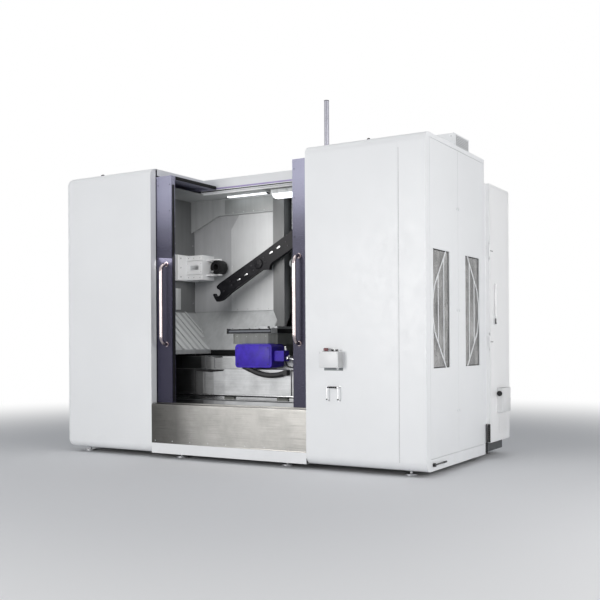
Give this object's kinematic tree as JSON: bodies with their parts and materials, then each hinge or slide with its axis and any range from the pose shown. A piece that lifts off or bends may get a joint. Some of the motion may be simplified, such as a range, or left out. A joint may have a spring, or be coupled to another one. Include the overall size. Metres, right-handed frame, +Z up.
{
  "type": "horizontal machining center",
  "caption": "Enclosed horizontal milling machine with sliding front doors, a travelling rotary table, a ram spindle, a swing-arm tool changer and hinged side doors.",
  "frame": {"origin": "on the floor, under the middle of the machine's box in plan", "axes": "+X to the operator's right along the front, +Y from the front doors to the back, +Z up"},
  "size_m": [4.504, 2.3, 3.54],
  "materials": {
    "pan_paint": "satin",
    "feet_steel": "turned",
    "panel_white": "fine satin powder coat",
    "sill_steel": "brushed",
    "door_blue": "hammertone",
    "door_glass": "clear",
    "handle_chrome": "polished",
    "liner_grey": "satin",
    "lamp_white": "diffusing",
    "casting_grey": "painted casting",
    "guide_steel": "ground",
    "cover_steel": "brushed",
    "table_paint": "satin",
    "pallet_steel": "ground",
    "drive_blue": "gloss",
    "hose_black": "matt",
    "head_paint": "satin",
    "ram_steel": "ground",
    "spindle_steel": "ground",
    "bellows_fabric": "coated cloth",
    "arm_black": "satin",
    "shaft_steel": "ground",
    "bracket_white": "satin",
    "pot_black": "matt",
    "magazine_paint": "satin",
    "stand_paint": "satin",
    "bay_glass": "clear",
    "chiller_paint": "satin",
    "unit_paint": "satin",
    "lever_black": "dipped",
    "box_white": "satin",
    "stop_red": "moulded",
    "button_black": "moulded",
    "hook_steel": "bright wire",
    "pole_steel": "satin tube",
    "cabinet_white": "satin",
    "swing_handle": "satin chrome",
    "switch_grey": "satin",
    "knob_black": "moulded"
  },
  "bodies": {
    "base": {"base_pan": "pan_paint", "levelling_feet": "feet_steel", "left_cover": "panel_white", "right_cover": "panel_white", "roof_cover": "panel_white", "front_trim": "panel_white", "sill_panel": "sill_steel", "chamber_left_wall": "liner_grey", "chamber_right_wall": "liner_grey", "chamber_rear_wall": "liner_grey", "chamber_lamp": "lamp_white", "bed": "casting_grey", "column": "casting_grey", "guide_rails": "guide_steel", "bed_covers": "cover_steel", "pot_bracket": "bracket_white", "magazine_stand": "stand_paint", "bay_frame": "panel_white", "oil_chiller": "chiller_paint", "hydraulic_unit": "unit_paint", "control_box": "box_white", "hose_hook": "hook_steel", "roof_pole": "pole_steel", "roof_box": "panel_white", "cabinet_body": "cabinet_white"},
    "left_leaf": {"left_door": "door_blue", "left_door_window": "door_glass", "left_door_handle": "handle_chrome"},
    "right_leaf": {"right_door": "door_blue", "right_door_window": "door_glass", "right_door_handle": "handle_chrome"},
    "front_bay_leaf": {"bay_door_front": "panel_white", "bay_window_front": "bay_glass"},
    "rear_bay_leaf": {"bay_door_rear": "panel_white", "bay_window_rear": "bay_glass"},
    "cabinet_leaf": {"cabinet_door": "cabinet_white", "switch_box": "switch_grey"},
    "cabinet_lever": {"cabinet_handle": "swing_handle"},
    "main_switch": {"switch_knob": "knob_black"},
    "stop": {"stop_button": "stop_red"},
    "left_push": {"left_push_button": "button_black"},
    "right_push": {"right_push_button": "button_black"},
    "table": {"saddle": "table_paint", "saddle_cover": "cover_steel", "drive_cover": "drive_blue", "drive_hose": "hose_black"},
    "left_cover_sheet": {"left_middle_cover": "cover_steel"},
    "right_cover_sheet": {"right_middle_cover": "cover_steel"},
    "pallet_turn": {"pallet": "pallet_steel"},
    "head": {"spindle_head": "head_paint", "upper_bellows": "bellows_fabric", "lower_bellows": "bellows_fabric"},
    "ram_body": {"ram": "ram_steel"},
    "spindle_body": {"spindle": "spindle_steel"},
    "shaft": {"arm_shaft": "shaft_steel"},
    "arm": {"tool_arm": "arm_black"},
    "pot": {"tool_pot": "pot_black"},
    "magazine": {"tool_magazine": "magazine_paint"},
    "drain": {"drain_lever": "lever_black"}
  },
  "joints": [
    {"name": "left_door_slide", "type": "slide", "parent": "base", "child": "left_leaf", "axis": [1, 0, 0], "range_m": [0, 0.7465]},
    {"name": "right_door_slide", "type": "slide", "parent": "base", "child": "right_leaf", "axis": [-1, 0, 0], "range_m": [0, 0.7465]},
    {"name": "front_bay_hinge", "type": "hinge", "parent": "base", "child": "front_bay_leaf", "pos_m": [2.148, -0.95, 1.6], "axis": [0, 0, -1], "range_deg": [0, 100]},
    {"name": "rear_bay_hinge", "type": "hinge", "parent": "base", "child": "rear_bay_leaf", "pos_m": [2.148, 0.453, 1.6], "axis": [0, 0, 1], "range_deg": [0, 85]},
    {"name": "cabinet_hinge", "type": "hinge", "parent": "base", "child": "cabinet_leaf", "pos_m": [2.188, 0.525, 1.5], "axis": [0, 0, -1], "range_deg": [0, 85]},
    {"name": "cabinet_lever_turn", "type": "hinge", "parent": "cabinet_leaf", "child": "cabinet_lever", "pos_m": [2.188, 0.692, 1.645], "axis": [1, 0, 0], "range_deg": [0, 90]},
    {"name": "main_switch_turn", "type": "hinge", "parent": "cabinet_leaf", "child": "main_switch", "pos_m": [2.22, 0.74, 0.6691], "axis": [0, 1, 0], "range_deg": [0, 90]},
    {"name": "stop_press", "type": "slide", "parent": "base", "child": "stop", "axis": [0, 0, -1], "range_m": [0, 0.006], "stiffness_N_per_m": 900, "springref_m": -0.002},
    {"name": "left_push_press", "type": "slide", "parent": "base", "child": "left_push", "axis": [0, 0, -1], "range_m": [0, 0.004], "stiffness_N_per_m": 700, "springref_m": -0.002},
    {"name": "right_push_press", "type": "slide", "parent": "base", "child": "right_push", "axis": [0, 0, -1], "range_m": [0, 0.004], "stiffness_N_per_m": 700, "springref_m": -0.002},
    {"name": "table_slide", "type": "slide", "parent": "base", "child": "table", "axis": [1, 0, 0], "range_m": [-0.208, 0.792]},
    {"name": "left_cover_slide", "type": "slide", "parent": "base", "child": "left_cover_sheet", "axis": [1, 0, 0], "range_m": [-0.104, 0.396]},
    {"name": "right_cover_slide", "type": "slide", "parent": "base", "child": "right_cover_sheet", "axis": [1, 0, 0], "range_m": [-0.104, 0.396]},
    {"name": "pallet_rotation", "type": "hinge", "parent": "table", "child": "pallet_turn", "pos_m": [-0.002, -0.335, 1.311], "axis": [0, 0, 1], "continuous": true},
    {"name": "head_slide", "type": "slide", "parent": "base", "child": "head", "axis": [0, 0, 1], "range_m": [-0.6, 0], "deforming": ["upper_bellows", "lower_bellows"]},
    {"name": "ram_slide", "type": "slide", "parent": "head", "child": "ram_body", "axis": [0, -1, 0], "range_m": [0, 0.3]},
    {"name": "spindle_rotation", "type": "hinge", "parent": "ram_body", "child": "spindle_body", "pos_m": [0.29, 0.15, 2.112], "axis": [0, 1, 0], "continuous": true},
    {"name": "shaft_slide", "type": "slide", "parent": "base", "child": "shaft", "axis": [0, -1, 0], "range_m": [0, 0.14]},
    {"name": "arm_rotation", "type": "hinge", "parent": "shaft", "child": "arm", "pos_m": [-0.366, 0.1, 2.112], "axis": [0, 1, 0], "range_deg": [0, 180]},
    {"name": "pot_swing", "type": "hinge", "parent": "base", "child": "pot", "pos_m": [-1.022, 0.2125, 2.112], "axis": [0, 0, 1], "range_deg": [0, 90]},
    {"name": "magazine_rotation", "type": "hinge", "parent": "base", "child": "magazine", "pos_m": [-1.852, -0.26, 1.42], "axis": [1, 0, 0], "continuous": true},
    {"name": "drain_turn", "type": "hinge", "parent": "base", "child": "drain", "pos_m": [2.148, -0.9, 0.112], "axis": [1, 0, 0], "range_deg": [0, 60]}
  ],
  "couplings": [
    {"joint": "left_cover_slide", "follows": "table_slide", "ratio": 0.5},
    {"joint": "right_cover_slide", "follows": "table_slide", "ratio": 0.5}
  ]
}
